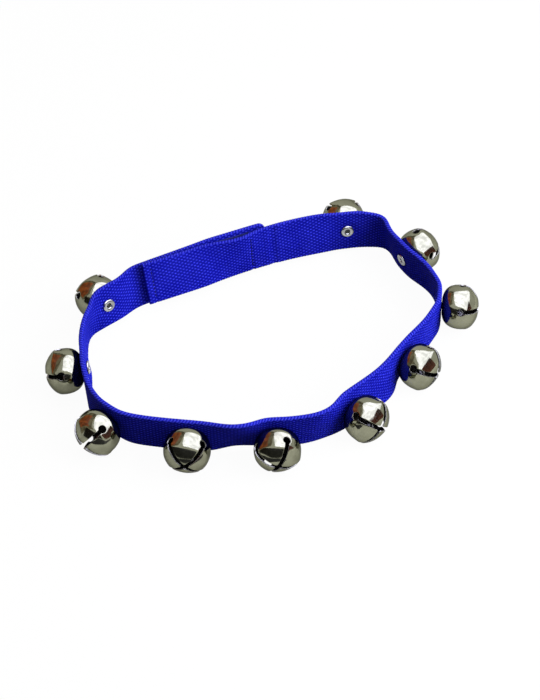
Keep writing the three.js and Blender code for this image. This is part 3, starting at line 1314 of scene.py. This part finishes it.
    def ball(self) -> Mesh:
        """Makes the loose pellet: a pressed ball with a faint seam round it.

        Returns:
            The closed mesh, at its place at rest in the bell.
        """
        bm = bmesh.new()
        bmesh.ops.create_uvsphere(bm, u_segments=36, v_segments=24, radius=self.pellet / 2)
        for vert in bm.verts:
            vert.co *= 1.0 + self.pellet_seam * exp(-(vert.co.z / self.pellet_seam_reach) ** 2)
        moved(bm, -self.drop, 0, 0)
        return bm

    def build(self) -> None:
        """Makes all ten bells and hangs each part on its body."""
        for number, (turn, _, _) in enumerate(self.lay.bells, 1):
            label = f"bell_{number:02d}"
            middle = self.lay.at(self.lay.bell(number))
            spin = radians(turn)
            spun = middle @ Matrix.Rotation(spin, 4, "Z")
            cup = placed(self.shell(number, spin), f"{label}_cup", spun, self.nickel)
            self.thicken(cup)
            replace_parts(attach(cup, label), f"{label}_shell")
            ball = placed(self.ball(), f"{label}_ball_pressed", middle, self.steel)
            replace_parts(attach(ball, f"{label}_ball"), f"{label}_pellet")
            pin = placed(self.rivet(), f"{label}_rivet_rolled", middle, self.rivet_metal)
            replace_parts(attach(pin, Body.STRAP.value), f"{label}_rivet")


# Studio


@dataclass(frozen=True)
class PaintedReflectionCard:
    """A glowing card beside the belt, a painted reflection which only its metal shows; it lights and shades
    nothing.
    """

    name: str
    colour: Colour
    worn: float
    size: Point2
    place: Point3
    lies_flat: bool = False


# Painted reflections: dark flags and a dark mat, a maroon flag, a dim wall, a warm card and a bright window,
# all glowing cards seen only in metal
PAINTED_REFLECTION_CARDS = (
    PaintedReflectionCard("front_flag_painted_reflection", (0.01, 0.01, 0.01), 0.3, (1.9, 0.56), (-0.38, -0.80, 0.29)),
    PaintedReflectionCard("front_mat_painted_reflection", (0.012, 0.012, 0.012), 0.5, (0.16, 0.40), (-0.05, -0.315, 0.0015), True),
    PaintedReflectionCard("right_flag_painted_reflection", (0.22, 0.055, 0.040), 0.3, (0.85, 0.56), (0.80, -0.36, 0.30)),
    PaintedReflectionCard("dim_wall_painted_reflection", (0.42, 0.36, 0.25), 0.35, (2.4, 1.9), (-1.15, 0.45, 0.80)),
    PaintedReflectionCard("warm_card_painted_reflection", (0.75, 0.17, 0.035), 0.35, (1.1, 0.85), (-0.86, 0.36, 0.47)),
    PaintedReflectionCard("window_painted_reflection", (4.8, 4.8, 6.4), 0.66, (2.2, 1.8), (0.45, -0.02, 0.95)),
)


@dataclass
class Studio:
    """Camera at the photograph's place, a pale floor, two softboxes and glowing cards that are painted
    reflections, which only metal shows.
    """

    target: Vector
    elevation: float = 48.5
    distance: float = 1000.0
    focal_pixels: float = 1811.0
    image_height: float = 700.0
    ambient: float = 0.07
    floor_size: float = 14.0
    floor_height: float = -0.0009
    floor_tone: float = 0.12
    floor_seen: float = 0.95
    floor_glow: float = 0.96
    metal_glow: float = 0.4
    card_aim: Point3 = (0.0, 0.0, 0.02)
    card_clouds: float = 3.0
    card_ramp: Ramp = (0.35, 0.65)

    def camera(self) -> None:
        """Puts the camera where the photograph was taken."""
        tilt = radians(self.elevation)
        back = Vector((0.0, -cos(tilt), sin(tilt)))
        data = bpy.data.cameras.new("camera")
        data.sensor_width = 36.0
        data.lens = data.sensor_width * self.focal_pixels / self.image_height
        seen = bpy.data.objects.new("camera", data)
        seen.location = (self.target + back * self.distance) * MM
        seen.rotation_mode = "QUATERNION"
        seen.rotation_quaternion = (-back).to_track_quat("-Z", "Y")
        bpy.context.scene.collection.objects.link(seen)
        bpy.context.scene.camera = seen

    def card(self, name: str, size: Point2, place: Vector, aim: Vector, material: Material) -> Object:
        """A flat card on the stage.

        Args:
            name: Name of the card.
            size: Its width and height.
            place: Its middle.
            aim: Point that it faces.
            material: Its finish.

        Returns:
            The card.
        """
        bm = grid(1, 1, *size)
        turn = (aim - place).to_track_quat("Z", "Y").to_matrix().to_4x4()
        bmesh.ops.transform(bm, matrix=Matrix.Translation(place) @ turn, verts=bm.verts[:])
        made = linked(bm, name, material)
        return made

    def seen(self, desk: Desk) -> Value:
        """1 for rays that show the background to the camera, in metal or through glass."""
        camera, glossy, glass = (desk.ray(kind) for kind in ("Camera", "Glossy", "Transmission"))
        return desk.maths("MINIMUM", camera + glossy + glass, 1.0)

    def floor(self) -> None:
        """Pale floor that reads as white and keeps a faint shadow."""
        desk = Desk(bpy.data.materials.new("pale_floor"))
        seen = self.seen(desk)
        tone = desk.mix(seen, (self.floor_tone,) * 3, (self.floor_seen,) * 3)
        paper = desk.node("BsdfDiffuse", inputs={0: tone})
        white = desk.node("Emission", inputs={0: (1, 1, 1, 1), 1: 1.0})
        glow = seen * self.metal_glow + desk.ray("Camera") * (self.floor_glow - self.metal_glow)
        material = desk.close(desk.node("MixShader", inputs={0: glow, 1: paper, 2: white}))
        self.card("floor", (self.floor_size, self.floor_size), UP * self.floor_height, UP, material)

    def cards(self) -> None:
        """Glowing cards as painted reflections round the belt: flags, a mat, a warm card and a window, which
        only its metal shows.
        """
        for card in PAINTED_REFLECTION_CARDS:
            desk = Desk(bpy.data.materials.new(card.name))
            worn = tuple(card.worn * part for part in card.colour)
            tint = desk.mix(desk.grain(self.card_clouds).ramp(*self.card_ramp), worn, card.colour)
            place = Vector(card.place)
            aim = place + UP if card.lies_flat else Vector(self.card_aim)
            made = self.card(card.name, card.size, place, aim, desk.finish(
                Base_Color=(0.0, 0.0, 0.0, 1.0), Emission_Color=tint, Emission_Strength=1.0))
            # painted reflections: the cards are hidden from the camera, diffuse light and shadows, so they
            # show only in metal
            made.visible_camera = made.visible_diffuse = made.visible_shadow = False

    def lamp(self, name: str, size: Point2, place: Vector, radiance: float) -> None:
        """A soft rectangular lamp that faces the belt and that metal doesn't show.

        Args:
            name: Name of the lamp.
            size: Its width and height.
            place: Its middle.
            radiance: Brightness of its face, where 1 is white.
        """
        data = bpy.data.lights.new(name, "AREA")
        data.shape = "RECTANGLE"
        data.size, data.size_y = size
        data.energy = radiance * pi * size[0] * size[1]
        made = bpy.data.objects.new(name, data)
        made.location = place
        made.rotation_mode = "QUATERNION"
        made.rotation_quaternion = place.to_track_quat("Z", "Y")
        made.visible_glossy = False
        bpy.context.scene.collection.objects.link(made)

    def world(self) -> None:
        """White surround for the camera and for metal, with a plain level of soft light."""
        desk = Desk(bpy.data.worlds.new("surround"))
        soft = desk.node("Background", inputs={0: (1, 1, 1, 1), 1: self.ambient})
        white = desk.node("Background", inputs={0: (1, 1, 1, 1), 1: 1.0})
        bpy.context.scene.world = desk.close(
            desk.node("MixShader", inputs={0: self.seen(desk), 1: soft, 2: white}))

    def build(self) -> None:
        """Sets up the whole studio."""
        bpy.context.scene.view_settings.view_transform = "Standard"
        self.camera()
        self.floor()
        self.cards()
        self.lamp("softbox", size=(1.3, 1.1), place=Vector((0.10, 0.04, 0.90)), radiance=1.58)
        self.lamp("side_softbox", size=(0.9, 0.9), place=Vector((0.85, -0.17, 0.54)), radiance=5.5)
        self.world()


def main() -> None:
    """Builds the belt piece by piece, and the studio round it."""
    logging.basicConfig(level=logging.INFO, format="%(name)s %(message)s")
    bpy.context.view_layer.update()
    lay = Lay()
    nickel = MetalFinish("polished_nickel", (0.26, 0.262, 0.185), (0.20, 0.202, 0.140), (0.06, 0.14), 0.4)
    # painted shade: the bell's inside is near black
    inside = MetalFinish("dull_painted_shade_inside", (0.035, 0.034, 0.030), (0.015, 0.015, 0.013), (0.55, 0.75))
    # painted highlight: the cut edges are lighter than the nickel
    edge = MetalFinish("cut_edge_painted_highlight", (0.40, 0.40, 0.36), (0.32, 0.32, 0.28), (0.40, 0.50))
    steel = MetalFinish("dark_steel", (0.16, 0.16, 0.165), (0.10, 0.10, 0.105), (0.30, 0.45))
    # the rivet's metal, lighter than the bell's nickel
    rivet_metal = MetalFinish("lighter_rivet_metal", (0.46, 0.47, 0.44), (0.34, 0.35, 0.32), (0.16, 0.30))
    bell = Bell(lay, *(metal.material() for metal in (nickel, inside, edge, steel, rivet_metal)))
    lay.stand_on("bell_01_pellet", Vector((-bell.drop, 0.0, 0.0)))
    log.info("the belt stands at %s", [round(part, 3) for part in lay.stand])
    Studio(lay.stand).build()
    log.info("studio is set")
    webbing = Webbing(lay, WebbingFinish())
    webbing.build()
    # for each tape and the thread, the tip colour is a painted highlight and the root colour painted shade
    loops = FuzzFinish("brushed_loops", (0.035, 0.045, 0.30), (0.006, 0.008, 0.09), 2600.0)
    hooks = FuzzFinish("moulded_hooks", (0.02, 0.03, 0.22), (0.008, 0.010, 0.12), 900.0, 0.5)
    # navy thread, darkened to near black as painted shade of the stitch grooves
    thread = FuzzFinish("sewing_thread_painted_groove_shade", (0.004, 0.005, 0.10), (0.001, 0.002, 0.04), 3000.0, 0.9)
    Closure(webbing, loops.material(), hooks.material(), thread.material()).build()
    bell.build()


if __name__ == "__main__":
    main()
